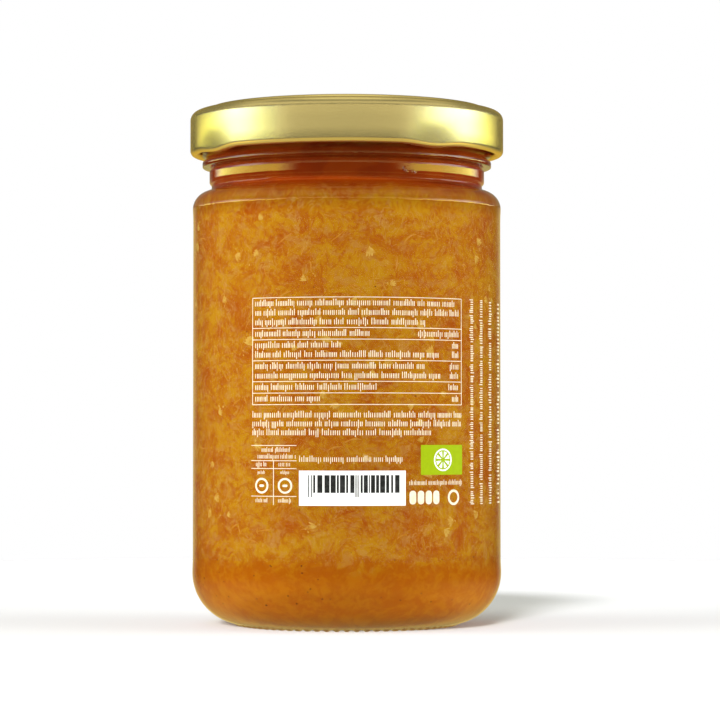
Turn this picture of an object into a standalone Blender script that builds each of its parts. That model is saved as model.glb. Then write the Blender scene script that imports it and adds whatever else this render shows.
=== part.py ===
"""A jar of orange marmalade, shut with a gold twist-off lid.

Lengths are in metres and +Z is up. The jar's axis is the Z axis, its foot stands on z = 0,
and the side with the printed panel faces -Y. Angles about the axis are in degrees from -Y,
growing towards +X, so that 0 is the front and 90 is the right-hand side.
"""

import math

import bmesh
import bpy

MM = 0.001

# Free space between two solids that lie against each other in the real jar.
GAP = 0.3 * MM

# Glass body: overall outline.
BODY_RADIUS = 32.95 * MM
PANEL_DEPTH = 0.5 * MM
PANEL_BOTTOM = 14.2 * MM
PANEL_TOP = 86.4 * MM
PANEL_STEP = 0.7 * MM
HEEL_RADIUS = 11.0 * MM
FOOT_LIFT = 0.3 * MM
PUNT_DEPTH = 2.4 * MM
SHOULDER_RADIUS = 3.8 * MM
SHOULDER_HEIGHT = 88.7 * MM
SHOULDER_TURN = 78

# Glass neck, from the shoulder up: waist, band, groove, bead, threaded wall and rim.
WAIST_RADIUS = 28.9 * MM
WAIST_HEIGHT = 93.4 * MM
WAIST_FILLET = 1.0 * MM
WAIST_FILLET_TURN = 70
BAND_RADIUS = 29.4 * MM
BAND_BOTTOM = 94.2 * MM
BAND_TOP = 96.8 * MM
GROOVE_RADIUS = 29.1 * MM
GROOVE_TOP = 97.4 * MM
BEAD_RADIUS = 30.9 * MM
BEAD_BOTTOM = 97.7 * MM
BEAD_TOP = 99.2 * MM
BEAD_SLOPE = 0.8 * MM
NECK_EDGE = 0.2 * MM
FINISH_RADIUS = 30.2 * MM
RIM_TOP = 109.45 * MM
RIM_ROUNDING = 1.0 * MM

# Hollow of the glass.
CAVITY_RADIUS = 30.1 * MM
CAVITY_HEEL_RADIUS = 9.5 * MM
CAVITY_FLOOR = 4.6 * MM
CAVITY_FLOOR_CROWN = 1.0 * MM
CAVITY_SHOULDER_RADIUS = 3.1 * MM
CAVITY_SHOULDER_HEIGHT = 89.3 * MM
CAVITY_SHOULDER_TURN = 75
BORE_RADIUS = 26.9 * MM
BORE_START = 94.0 * MM

# Studs that the foot stands on.
STUDS = 70
STUD_CIRCLE = 22.9 * MM
STUD_LENGTH = 1.8 * MM
STUD_WIDTH = 1.1 * MM
STUD_HEIGHT = 1.0 * MM
STUD_TAPER = 0.72

# Four thread ridges, each dropping below the lid's edge at its left end.
THREADS = 4
THREAD_START = -16
THREAD_TURN = 78
THREAD_LOW = 99.4 * MM
THREAD_RISE = 5.2 * MM
THREAD_DEPTH = 0.75 * MM
THREAD_ROOT = 0.4 * MM
THREAD_HALF_HEIGHT = 0.85 * MM
THREAD_STEPS = 12

# Shares of a ridge's full size: at its pointed ends, gained per share of its length, and of its
# height at the crest.
THREAD_TIP = 0.15
THREAD_SWELL = 5
THREAD_CREST = 0.35

# Marmalade.
FILL_LEVEL = 105.5 * MM

# Label: a clear film that wraps the whole body, open by a narrow seam at the back.
FILM_THICKNESS = 0.2 * MM
FILM_BOTTOM = 14.6 * MM
FILM_TOP = 86.0 * MM
FILM_SEAM = 1.2

# Lid of pressed tinplate, rolled inward at the bottom edge.
LID_RADIUS = 33.5 * MM
LID_SHEET = 0.5 * MM
LID_TOP = 110.3 * MM
LID_SHOULDER = 109.55 * MM
LID_CORNER = 2.4 * MM
LID_CORNER_TURN = 84
LID_INNER_CORNER_TURN = 80
LID_RING_OUTER = 30.1 * MM
LID_RING_INNER = 26.4 * MM
LID_RING_SLOPE = 0.5 * MM
LID_PANEL = 109.3 * MM
BUTTON_RADIUS = 9.0 * MM
BUTTON_FLAT_RADIUS = 7.2 * MM
BUTTON_DEPTH = 0.35 * MM
ROLL_RADIUS = 1.05 * MM
ROLL_BOTTOM = 100.1 * MM
ROLL_TURN = 240
ROLL_TOP = 102.83 * MM
LUGS = 4
LUG_START = 33
LUG_HALF_TURN = 14
LUG_INWARD = 0.8 * MM
LUG_INWARD_OUTSIDE = 0.36 * MM
LUG_DOWN = 0.6 * MM
LUG_REACH = 103.2 * MM

# Facets around the axis.
GLASS_FACETS = 60
LID_FACETS = 60
FILLING_FACETS = 48
FILM_FACETS = 60

MERGE_DISTANCE = 0.001 * MM
SHARP_ANGLE = 40


def clear_scene():
    for obj in list(bpy.data.objects):
        bpy.data.objects.remove(obj, do_unlink=True)


def finish_material(name, colour, roughness, metallic=0.0, transmission=0.0, alpha=1.0):
    material = bpy.data.materials.new(name)
    material.use_nodes = True
    shader = material.node_tree.nodes["Principled BSDF"]
    shader.inputs["Base Color"].default_value = (*colour, 1.0)
    shader.inputs["Roughness"].default_value = roughness
    shader.inputs["Metallic"].default_value = metallic
    shader.inputs["Transmission Weight"].default_value = transmission
    shader.inputs["Alpha"].default_value = alpha
    material.diffuse_color = (*colour, alpha)
    return material


def around(radius, angle, height):
    """The point at this distance from the axis, angle in degrees from the front, and height."""
    turn = math.radians(angle)
    return (radius * math.sin(turn), -radius * math.cos(turn), height)


def arc(centre_radius, centre_height, radius, start, end, steps):
    """Points (r, z) of an arc, its angles in degrees from the outward direction, growing upwards."""
    points = []
    for step in range(steps + 1):
        turn = math.radians(start + (end - start) * step / steps)
        points.append((centre_radius + radius * math.cos(turn), centre_height + radius * math.sin(turn)))
    return points


def crown(radius, base, rise, steps):
    """Points (r, z) of a smooth crown, from the axis, where it is base + rise high, out to base."""
    points = []
    for step in range(steps):
        share = step / steps
        points.append((radius * share, base + rise * math.cos(share * math.pi / 2) ** 2))
    return points


def turned(outline, facets):
    """A bmesh of the outline turned about the axis. Its ends lie on the axis, or meet each other."""
    mesh = bmesh.new()
    verts = [mesh.verts.new(around(r, 0, z)) for r, z in outline]
    edges = [mesh.edges.new(pair) for pair in zip(verts, verts[1:])]
    if outline[0][0] > 0:
        edges.append(mesh.edges.new((verts[-1], verts[0])))
    bmesh.ops.spin(
        mesh,
        geom=verts + edges,
        cent=(0, 0, 0),
        axis=(0, 0, 1),
        angle=2 * math.pi,
        steps=facets,
        use_merge=True,
    )
    bmesh.ops.remove_doubles(mesh, verts=mesh.verts, dist=MERGE_DISTANCE)
    bmesh.ops.recalc_face_normals(mesh, faces=mesh.faces)
    return mesh


def add_object(name, mesh, material=None, collection=None):
    """Turns the bmesh into an object, shaded smooth except over its sharp edges."""
    data = bpy.data.meshes.new(name)
    mesh.to_mesh(data)
    mesh.free()
    if material:
        data.materials.append(material)
    data.shade_smooth()
    data.set_sharp_from_angle(angle=math.radians(SHARP_ANGLE))
    obj = bpy.data.objects.new(name, data)
    (collection or bpy.context.scene.collection).objects.link(obj)
    return obj


def cavity_outline(gap, top):
    """The hollow's wall from the centre of its floor up to a height, drawn in by a gap."""
    heel_centre = CAVITY_RADIUS - CAVITY_HEEL_RADIUS
    floor = crown(heel_centre, CAVITY_FLOOR + gap, CAVITY_FLOOR_CROWN, steps=3)
    heel_height = CAVITY_FLOOR + CAVITY_HEEL_RADIUS
    heel = arc(heel_centre, heel_height, CAVITY_HEEL_RADIUS - gap, -90, 0, steps=4)
    shoulder_centre = CAVITY_RADIUS - CAVITY_SHOULDER_RADIUS
    shoulder = arc(
        shoulder_centre,
        CAVITY_SHOULDER_HEIGHT,
        CAVITY_SHOULDER_RADIUS - gap,
        0,
        CAVITY_SHOULDER_TURN,
        steps=3,
    )
    bore = [(BORE_RADIUS - gap, BORE_START), (BORE_RADIUS - gap, top)]
    return floor + heel + shoulder + bore


def foot_outline():
    """The outside from the centre of the base, over the foot, to the top of the rounded heel."""
    heel_centre = BODY_RADIUS - HEEL_RADIUS
    punt = crown(heel_centre, FOOT_LIFT, PUNT_DEPTH, steps=4)
    return punt + arc(heel_centre, FOOT_LIFT + HEEL_RADIUS, HEEL_RADIUS, -90, 0, steps=7)


def wall_outline():
    """The outside from the heel to the waist of the neck, with the shallow panel for the label."""
    panel_radius = BODY_RADIUS - PANEL_DEPTH
    panel = [
        (BODY_RADIUS, PANEL_BOTTOM - PANEL_STEP),
        (panel_radius, PANEL_BOTTOM),
        (panel_radius, PANEL_TOP),
        (BODY_RADIUS, PANEL_TOP + PANEL_STEP),
    ]
    shoulder_centre = BODY_RADIUS - SHOULDER_RADIUS
    shoulder = arc(shoulder_centre, SHOULDER_HEIGHT, SHOULDER_RADIUS, 0, SHOULDER_TURN, steps=5)
    fillet_centre = WAIST_RADIUS + WAIST_FILLET
    fillet = arc(fillet_centre, WAIST_HEIGHT, WAIST_FILLET, 180 + WAIST_FILLET_TURN, 180, steps=2)
    return panel + shoulder + fillet


def neck_outline():
    """The outside from the band of the neck to the crest of the rim, and over it to the bore."""
    band = [
        (BAND_RADIUS, BAND_BOTTOM),
        (BAND_RADIUS, BAND_TOP),
        (GROOVE_RADIUS, BAND_TOP + NECK_EDGE),
    ]
    bead = [
        (GROOVE_RADIUS, GROOVE_TOP),
        (BEAD_RADIUS - NECK_EDGE, BEAD_BOTTOM),
        (BEAD_RADIUS, BEAD_BOTTOM + NECK_EDGE),
        (BEAD_RADIUS, BEAD_TOP - BEAD_SLOPE),
        (FINISH_RADIUS, BEAD_TOP),
    ]
    height = RIM_TOP - RIM_ROUNDING
    outer = arc(FINISH_RADIUS - RIM_ROUNDING, height, RIM_ROUNDING, 0, 90, steps=3)
    inner = arc(BORE_RADIUS + RIM_ROUNDING, height, RIM_ROUNDING, 90, 180, steps=2)
    return band + bead + outer + inner[:-1]


def foot_stud(angle):
    """One stud under the foot: a six-sided pad, narrow end down, whose flat bottom is at z = 0."""
    mesh = bmesh.new()
    corners = [(0.5, 0.0), (0.25, 0.5), (-0.25, 0.5), (-0.5, 0.0), (-0.25, -0.5), (0.25, -0.5)]
    rings = []
    for height, share in ((0.0, STUD_TAPER), (STUD_HEIGHT, 1.0)):
        ring = []
        for along, across in corners:
            radius = STUD_CIRCLE + along * STUD_LENGTH * share
            offset = math.degrees(across * STUD_WIDTH * share / STUD_CIRCLE)
            ring.append(mesh.verts.new(around(radius, angle + offset, height)))
        rings.append(ring)
    bottom, top = rings
    mesh.faces.new(bottom)
    mesh.faces.new(top)
    for index in range(len(corners)):
        after = (index + 1) % len(corners)
        mesh.faces.new((bottom[index], bottom[after], top[after], top[index]))
    bmesh.ops.recalc_face_normals(mesh, faces=mesh.faces)
    return mesh


def thread_ridge(start):
    """One thread ridge, rising to the right from its pointed end, with its root inside the wall."""
    mesh = bmesh.new()
    rings = []
    for step in range(THREAD_STEPS + 1):
        share = step / THREAD_STEPS
        angle = start + THREAD_TURN * share
        middle = THREAD_LOW + THREAD_RISE * share
        taper = min(1.0, THREAD_TIP + THREAD_SWELL * min(share, 1 - share))
        half = THREAD_HALF_HEIGHT * taper
        root = FINISH_RADIUS - THREAD_ROOT
        crest = FINISH_RADIUS + THREAD_DEPTH * taper
        section = [
            (root, middle - half),
            (crest, middle - THREAD_CREST * half),
            (crest, middle + THREAD_CREST * half),
            (root, middle + half),
        ]
        rings.append([mesh.verts.new(around(r, angle, z)) for r, z in section])
    for low, high in zip(rings, rings[1:]):
        for index in range(len(low)):
            after = (index + 1) % len(low)
            mesh.faces.new((low[index], low[after], high[after], high[index]))
    mesh.faces.new(rings[0])
    mesh.faces.new(rings[-1])
    bmesh.ops.recalc_face_normals(mesh, faces=mesh.faces)
    return mesh


def fuse(obj, extras):
    """Joins every object of a collection onto the object, then removes them."""
    union = obj.modifiers.new("Fuse", "BOOLEAN")
    union.operation = "UNION"
    union.operand_type = "COLLECTION"
    union.collection = extras
    union.solver = "MANIFOLD"
    graph = bpy.context.evaluated_depsgraph_get()
    fused = bpy.data.meshes.new_from_object(obj.evaluated_get(graph))
    obj.modifiers.remove(union)
    obj.data = fused
    for extra in list(extras.objects):
        bpy.data.objects.remove(extra, do_unlink=True)
    bpy.data.collections.remove(extras)


def make_glass():
    clear_glass = finish_material("clear_glass", (0.95, 0.97, 0.93), 0.03, transmission=1.0, alpha=0.35)
    hollow = cavity_outline(0.0, RIM_TOP - RIM_ROUNDING)
    outline = foot_outline() + wall_outline() + neck_outline() + hollow[::-1]
    glass = add_object("jar_glass", turned(outline, GLASS_FACETS), clear_glass)
    extras = bpy.data.collections.new("glass_extras")
    bpy.context.scene.collection.children.link(extras)
    for index in range(STUDS):
        add_object(f"stud_{index}", foot_stud(360 * index / STUDS), collection=extras)
    for index in range(THREADS):
        add_object(f"thread_{index}", thread_ridge(THREAD_START + 360 * index / THREADS), collection=extras)
    fuse(glass, extras)


def make_marmalade():
    preserve = finish_material("orange_marmalade", (0.72, 0.30, 0.03), 0.25)
    outline = cavity_outline(GAP, FILL_LEVEL) + [(0.0, FILL_LEVEL)]
    add_object("marmalade", turned(outline, FILLING_FACETS), preserve)


def make_label():
    """The film as a band of even thickness, swept once round from one side of the seam to the other."""
    clear_film = finish_material("clear_film", (0.95, 0.95, 0.95), 0.2, transmission=0.6, alpha=0.3)
    inner = BODY_RADIUS - FILM_THICKNESS
    section = [(inner, FILM_BOTTOM), (BODY_RADIUS, FILM_BOTTOM), (BODY_RADIUS, FILM_TOP), (inner, FILM_TOP)]
    start = FILM_SEAM / 2 - 180
    turn = 360 - FILM_SEAM
    mesh = bmesh.new()
    verts = [mesh.verts.new(around(r, start, z)) for r, z in section]
    face = mesh.faces.new(verts)
    bmesh.ops.spin(
        mesh,
        geom=[face],
        cent=(0, 0, 0),
        axis=(0, 0, 1),
        angle=math.radians(turn),
        steps=FILM_FACETS,
    )
    bmesh.ops.recalc_face_normals(mesh, faces=mesh.faces)
    add_object("label_film", mesh, clear_film)


def lid_outline():
    """Outside from the centre of the panel to the rolled edge, then the inside back to the centre."""
    ring_outer = LID_RING_OUTER - LID_RING_SLOPE
    outer = [
        (0.0, LID_PANEL - BUTTON_DEPTH),
        (BUTTON_FLAT_RADIUS, LID_PANEL - BUTTON_DEPTH),
        (BUTTON_RADIUS, LID_PANEL),
        (LID_RING_INNER - LID_RING_SLOPE, LID_PANEL),
        (LID_RING_INNER, LID_TOP),
        (ring_outer, LID_TOP),
        (LID_RING_OUTER, LID_SHOULDER),
    ]
    centre_radius, centre_height = LID_RADIUS - LID_CORNER, LID_SHOULDER - LID_CORNER
    corner = arc(centre_radius, centre_height, LID_CORNER, LID_CORNER_TURN, 0, steps=4)
    roll_centre = LID_RADIUS - ROLL_RADIUS
    roll = arc(roll_centre, ROLL_BOTTOM + ROLL_RADIUS, ROLL_RADIUS, 0, -ROLL_TURN, steps=7)
    wall = [(LID_RADIUS - LID_SHEET, ROLL_TOP)]
    inner_corner = arc(
        centre_radius, centre_height, LID_CORNER - LID_SHEET, 0, LID_INNER_CORNER_TURN, steps=2
    )
    under = [(r, z - LID_SHEET) for r, z in reversed(outer)]
    return outer + corner + roll + wall + inner_corner + under


def lug_share(angle):
    """How far a lug is pressed in at this angle, from 0 between the lugs to 1 at a lug's middle."""
    spacing = 360 / LUGS
    offset = (angle - LUG_START + spacing / 2) % spacing - spacing / 2
    if abs(offset) > LUG_HALF_TURN:
        return 0.0
    return math.cos(offset / LUG_HALF_TURN * math.pi / 2) ** 2


def press_lugs(mesh):
    """Pushes the rolled edge inward and down at each lug, fading out up the skirt's inside."""
    for vert in mesh.verts:
        x, y, z = vert.co
        radius = math.hypot(x, y)
        inside = radius < LID_RADIUS - 0.5 * LID_SHEET
        low = max(0.0, min(1.0, (LUG_REACH - z) / (LUG_REACH - ROLL_BOTTOM - ROLL_RADIUS)))
        share = low * lug_share(math.degrees(math.atan2(x, -y)))
        inward = share * (LUG_INWARD if inside else LUG_INWARD_OUTSIDE)
        scale = (radius - inward) / radius if radius > 0 else 1.0
        vert.co = (x * scale, y * scale, z - LUG_DOWN * share)


def make_lid():
    gold_lacquer = finish_material("gold_lacquer", (0.62, 0.53, 0.22), 0.28, metallic=1.0)
    mesh = turned(lid_outline(), LID_FACETS)
    press_lugs(mesh)
    add_object("lid", mesh, gold_lacquer)


def main():
    clear_scene()
    make_glass()
    make_marmalade()
    make_label()
    make_lid()


main()
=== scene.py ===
"""Looks of the marmalade jar: clear glass, orange marmalade, gold twist-off lid and printed film.

Lengths are in metres and +Z is up, as in the frame. The jar's axis is the Z axis and the printed
panel faces -Y. Angles about the axis are in degrees from -Y, growing towards +X.
"""

import math
import random

import bmesh
import bpy
import numpy as np
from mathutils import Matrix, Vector


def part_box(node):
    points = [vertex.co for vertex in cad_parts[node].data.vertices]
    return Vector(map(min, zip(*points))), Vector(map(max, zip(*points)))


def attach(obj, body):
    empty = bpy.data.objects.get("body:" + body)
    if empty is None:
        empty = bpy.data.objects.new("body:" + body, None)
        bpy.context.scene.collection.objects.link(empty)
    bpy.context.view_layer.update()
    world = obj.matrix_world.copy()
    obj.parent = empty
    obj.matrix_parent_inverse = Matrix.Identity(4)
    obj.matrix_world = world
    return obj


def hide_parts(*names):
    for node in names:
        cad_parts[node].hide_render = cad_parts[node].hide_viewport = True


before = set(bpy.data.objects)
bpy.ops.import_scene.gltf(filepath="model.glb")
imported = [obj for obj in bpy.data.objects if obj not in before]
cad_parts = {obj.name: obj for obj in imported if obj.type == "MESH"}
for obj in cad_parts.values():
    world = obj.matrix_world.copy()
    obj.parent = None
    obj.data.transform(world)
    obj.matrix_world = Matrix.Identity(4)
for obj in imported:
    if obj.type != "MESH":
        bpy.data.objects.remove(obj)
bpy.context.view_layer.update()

MM = 0.001
SHARP_ANGLE = math.radians(50)

# Sizes read from the frame.
GLASS_LOW, GLASS_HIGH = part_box("jar_glass")
LID_LOW, LID_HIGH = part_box("lid")
FILM_LOW, FILM_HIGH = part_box("label_film")
BODY_RADIUS = -GLASS_LOW[1]
RIM_TOP = GLASS_HIGH[2]
LID_RADIUS = -LID_LOW[1]
LID_TOP = LID_HIGH[2]
FILM_BOTTOM = FILM_LOW[2]
FILM_TOP = FILM_HIGH[2]
FILL_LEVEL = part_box("marmalade")[1][2]

# Glass outside.
HEEL_RADIUS = 11.0 * MM
FOOT_LIFT = 0.3 * MM
PUNT_DEPTH = 2.4 * MM
PANEL_DEPTH = 0.1 * MM
PANEL_MARGIN = 0.3 * MM
PANEL_SLOPE = 2.6 * MM
SHOULDER_RADIUS = 3.8 * MM
SHOULDER_TOP = 92.5 * MM
SHOULDER_TURN = 76
WAIST_RADIUS = 28.9 * MM
BAND_RADIUS = 29.4 * MM
BAND_BOTTOM = 94.2 * MM
BAND_TOP = 96.9 * MM
GROOVE_RADIUS = 29.1 * MM
GROOVE_TOP = 97.35 * MM
BEAD_RADIUS = 30.9 * MM
BEAD_BOTTOM = 97.6 * MM
BEAD_TOP = 99.2 * MM
FINISH_RADIUS = 30.2 * MM
RIM_ROUNDING = 1.0 * MM

# The longest steps along the outlines that are turned.
BODY_STEP = 4 * MM
NECK_STEP = 0.45 * MM
INSIDE_STEP = 6 * MM
LID_STEP = 3 * MM
FILLING_STEP = 2 * MM

# How many facets go round.
FACETS_ON_STUD = 6
FILLING_FACETS = 180
LID_FACETS = 360

# Glass inside, and how far the filling reaches into the wall.
CAVITY_RADIUS = 30.1 * MM
CAVITY_HEEL_RADIUS = 9.5 * MM
CAVITY_FLOOR = 4.6 * MM
CAVITY_FLOOR_CROWN = 1.0 * MM
CAVITY_SHOULDER_TOP = 92.3 * MM
CAVITY_SHOULDER_RADIUS = 3.1 * MM
CAVITY_SHOULDER_TURN = 70
BORE_RADIUS = 26.9 * MM
BORE_FOOT = 93.4 * MM
BORE_FOOT_ROUNDING = 1.2 * MM
INTO_WALL = 0.1 * MM
FILL_DIP = 0.8 * MM

# Studs under the foot and thread ridges on the neck.
STUDS = 70
STUD_CIRCLE = 22.9 * MM
STUD_LENGTH = 1.8 * MM
STUD_SPREAD = 0.62
STUD_LEVEL = 0.5
STUD_SWING = 0.9
FOOT_ZONE = 2.0 * MM
THREADS = 4
THREAD_START = -16
THREAD_TURN = 78
THREAD_LOW = 99.4 * MM
THREAD_RISE = 5.2 * MM
THREAD_DEPTH = 0.75 * MM
THREAD_HALF_HEIGHT = 0.85 * MM
THREAD_CREST = 0.45
THREAD_TIP = 0.15
THREAD_FADE = 5
THREAD_LEAST = 0.05
FINISH_SLACK = 0.05 * MM

# Lid. The lugs press its rolled edge inward and down.
LID_SHEET = 0.4 * MM
LID_SHOULDER = 109.55 * MM
LID_CORNER = 1.9 * MM
LID_CORNER_TURN = 86
LID_RING_OUTER = 29.9 * MM
LID_RING_INNER = 26.2 * MM
LID_PANEL = 109.3 * MM
BUTTON_RADIUS = 9.0 * MM
BUTTON_DEPTH = 0.35 * MM
ROLL_RADIUS = 1.05 * MM
ROLL_BOTTOM = 100.1 * MM
ROLL_TURN = -235
WALL_FOOT = 2.7 * ROLL_RADIUS
LUGS = 4
LUG_START = 33
LUG_HALF_TURN = 14
LUG_INWARD = 0.8 * MM
LUG_DOWN = 0.6 * MM
LUG_REACH = 103.2 * MM
LUG_OUTSIDE_SHARE = 0.45
LUG_SKIN_OUTER = 0.1 * MM
LUG_SKIN_INNER = 0.9 * MM

# Film and ink.
FILM_THICKNESS = 0.08 * MM
FILM_SEAM = 1.2
INK_LIFT = 0.01 * MM
INK_THICKNESS = 0.02 * MM

# The photograph's camera: a long lens a little above the table, looking slightly up.
PICTURE = 720
SENSOR = 36.0
LENS = 145.0
CAMERA_DISTANCE = 620.8 * MM
CAMERA_HEIGHT = 40.74 * MM
AXIS_PIXEL = 346.8
HORIZON_PIXEL = 434.0


class Wire:
    """One value in a material: arithmetic on it adds the Math nodes."""

    def __init__(self, finish, socket):
        self.finish = finish
        self.socket = socket

    def math(self, operation, *values):
        return self.finish.math(operation, *values)

    def __add__(self, other):
        return self.math("ADD", self, other)

    def __radd__(self, other):
        return self.math("ADD", other, self)

    def __sub__(self, other):
        return self.math("SUBTRACT", self, other)

    def __rsub__(self, other):
        return self.math("SUBTRACT", other, self)

    def __mul__(self, other):
        return self.math("MULTIPLY", self, other)

    def __rmul__(self, other):
        return self.math("MULTIPLY", other, self)

    def __abs__(self):
        return self.math("ABSOLUTE", self)


class Made:
    """A node that was just added. Indexing it by an output's name gives that output as a Wire."""

    def __init__(self, finish, node):
        self.finish = finish
        self.node = node

    def __getitem__(self, key):
        return Wire(self.finish, pick(self.node.outputs, key))


def pick(sockets, key):
    """The socket of this identifier or, failing that, of this name."""
    for socket in sockets:
        if socket.identifier == key:
            return socket
    return sockets[key]


class Finish:
    """The node tree of a material or a world, with one method that adds any node."""

    def __init__(self, owner):
        self.owner = owner
        owner.use_nodes = True
        self.tree = owner.node_tree
        self.tree.nodes.clear()

    def add(self, kind, settings=None, sockets=None):
        """Adds a node. Its settings come first, then the values or links of its sockets."""
        node = self.tree.nodes.new(kind)
        for name, value in (settings or {}).items():
            if name == "stops":
                self.set_stops(node.color_ramp, value)
            else:
                setattr(node, name, value)
        for key, value in (sockets or {}).items():
            socket = pick(node.inputs, key)
            if isinstance(value, Wire):
                self.tree.links.new(value.socket, socket)
            else:
                socket.default_value = value
        return Made(self, node)

    def set_stops(self, ramp, stops):
        while len(ramp.elements) < len(stops):
            ramp.elements.new(1.0)
        for element, (place, colour) in zip(ramp.elements, stops):
            element.position = place
            element.color = (*colour, 1.0)

    def math(self, operation, *values):
        sockets = dict(zip(("Value", "Value_001"), values))
        return self.add("ShaderNodeMath", {"operation": operation}, sockets)["Value"]

    def vector(self, operation, sockets):
        return self.add("ShaderNodeVectorMath", {"operation": operation}, sockets)["Vector"]

    def step(self, value, start, end):
        """0 where the value is before start, 1 past end, smooth between."""
        settings = {"interpolation_type": "SMOOTHSTEP"}
        sockets = {"Value": value, "From Min": start, "From Max": end}
        return self.add("ShaderNodeMapRange", settings, sockets)["Result"]

    def window(self, value, low, high, soft):
        """1 where the value lies between low and high, fading to 0 over soft on both sides."""
        return self.step(value, low - soft, low) * (1 - self.step(value, high, high + soft))

    def blend(self, share, first, second):
        """A mix of two colours."""
        sockets = {"Factor_Float": share, "A_Color": colour(first), "B_Color": colour(second)}
        return self.add("ShaderNodeMix", {"data_type": "RGBA"}, sockets)["Result_Color"]

    def places(self):
        """The surface point in millimetres."""
        spot = self.add("ShaderNodeTexCoord")["Object"]
        return self.vector("SCALE", {"Vector": spot, "Scale": 1 / MM})

    def noise(self, spot, size, detail=3.0, roughness=0.5, distortion=0.0):
        """Noise whose blotches are about size millimetres wide."""
        sockets = {
            "Vector": spot,
            "Scale": 1 / size,
            "Detail": detail,
            "Roughness": roughness,
            "Distortion": distortion,
        }
        return self.add("ShaderNodeTexNoise", {"noise_dimensions": "3D"}, sockets)["Fac"]

    def bump(self, height, strength, distance):
        sockets = {"Height": height, "Strength": strength, "Distance": distance}
        return self.add("ShaderNodeBump", {}, sockets)["Normal"]

    def principled(self, sockets):
        return self.add("ShaderNodeBsdfPrincipled", {}, sockets)["BSDF"]

    def mixed(self, share, first, second):
        """A mix of two shaders."""
        sockets = {"Fac": share, "Shader": first, "Shader_001": second}
        return self.add("ShaderNodeMixShader", {}, sockets)["Shader"]

    def surface(self, shader):
        self.add("ShaderNodeOutputMaterial", {}, {"Surface": shader})
        return self.owner


def colour(value):
    """A colour as four numbers. A wire stays as it is."""
    return value if isinstance(value, Wire) else (*value, 1.0)


def new_finish(name):
    return Finish(bpy.data.materials.new(name))


def arc(centre_radius, centre_height, radius, start, end, steps):
    """Points (r, z) of an arc, its angles in degrees from the outward direction, growing upwards."""
    turns = np.radians(np.linspace(start, end, steps + 1))
    return list(zip(centre_radius + radius * np.cos(turns), centre_height + radius * np.sin(turns)))


def crown(radius, base, rise, steps):
    """Points (r, z) of a smooth crown, from the axis, where it is base + rise high, out to base."""
    shares = np.arange(steps) / steps
    return list(zip(radius * shares, base + rise * np.cos(shares * np.pi / 2) ** 2))


def rounded(corners, steps=4):
    """An outline through corners (r, z, rounding), each corner replaced by a smooth curve."""
    points = [Vector((r, z)) for r, z, _ in corners]
    outline = [tuple(points[0])]
    for before, here, after, (_, _, rounding) in zip(points, points[1:], points[2:], corners[1:]):
        if rounding <= 0:
            outline.append(tuple(here))
            continue
        reach = min(rounding, (before - here).length / 2, (after - here).length / 2)
        start = here + (before - here).normalized() * reach
        end = here + (after - here).normalized() * reach
        for step in range(steps + 1):
            share = step / steps
            curve = start * (1 - share) ** 2 + here * 2 * share * (1 - share) + end * share**2
            outline.append(tuple(curve))
    outline.append(tuple(points[-1]))
    return outline


def divided(outline, longest):
    """The same outline with long stretches cut into steps no longer than this."""
    result = [outline[0]]
    for (r0, z0), (r1, z1) in zip(outline, outline[1:]):
        length = math.hypot(r1 - r0, z1 - z0)
        if length < 1e-7:
            continue
        count = max(1, math.ceil(length / longest))
        for step in range(1, count + 1):
            share = step / count
            result.append((r0 + (r1 - r0) * share, z0 + (z1 - z0) * share))
    return result


def turned(name, outline, facets, shift=None):
    """A mesh of the outline turned about the axis. shift(r, z, angle) returns moved r and z.

    An outline that starts or ends on the axis is closed there by one point. Any other outline
    is joined end to start.
    """
    radii = np.array([r for r, _ in outline])
    heights = np.array([z for _, z in outline])
    on_axis = radii < 1e-9
    turns = np.arange(facets) * 2 * math.pi / facets
    r = np.repeat(radii[:, None], facets, axis=1)
    z = np.repeat(heights[:, None], facets, axis=1)
    if shift:
        r, z = shift(r, z, np.degrees(turns)[None, :])
    verts, starts = [], []
    for row in range(len(outline)):
        starts.append(len(verts))
        if on_axis[row]:
            verts.append((0.0, 0.0, float(heights[row])))
        else:
            ring = np.stack([r[row] * np.sin(turns), -r[row] * np.cos(turns), z[row]], axis=1)
            verts.extend(map(tuple, ring))
    rows = list(zip(range(len(outline)), range(1, len(outline))))
    if not on_axis[0]:
        rows.append((len(outline) - 1, 0))
    faces = []
    for low, high in rows:
        for column in range(facets):
            after = (column + 1) % facets
            if on_axis[low]:
                faces.append((starts[low], starts[high] + after, starts[high] + column))
            elif on_axis[high]:
                faces.append((starts[low] + column, starts[low] + after, starts[high]))
            else:
                a, b = starts[low], starts[high]
                faces.append((a + column, a + after, b + after, b + column))
    listed = bpy.data.meshes.new("listed")
    listed.from_pydata(verts, [], faces)
    mesh = bmesh.new()
    mesh.from_mesh(listed)
    bpy.data.meshes.remove(listed)
    return closed_mesh(name, mesh)


def closed_mesh(name, mesh):
    """The mesh that was built, with every face outward, and smooth except over its sharp edges."""
    data = bpy.data.meshes.new(name)
    bmesh.ops.recalc_face_normals(mesh, faces=mesh.faces)
    mesh.to_mesh(data)
    mesh.free()
    data.shade_smooth()
    data.set_sharp_from_angle(angle=SHARP_ANGLE)
    return data


def piece(name, mesh, material, replaced=None):
    """A visible piece: it rides on the jar, and may stand for a solid of the frame."""
    obj = bpy.data.objects.new(name, mesh)
    bpy.context.scene.collection.objects.link(obj)
    mesh.materials.append(material)
    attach(obj, "root")
    if replaced:
        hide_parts(replaced)
    return obj


def smooth_share(value, start, end):
    """0 before start, 1 past end, smooth between, for arrays."""
    share = np.clip((value - start) / (end - start), 0.0, 1.0)
    return share * share * (3 - 2 * share)


def near_multiple(angle, start, count):
    """Signed degrees from the nearest of count evenly spaced places, the first at start."""
    spacing = 360 / count
    return (angle - start + spacing / 2) % spacing - spacing / 2


# Shapes


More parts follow.
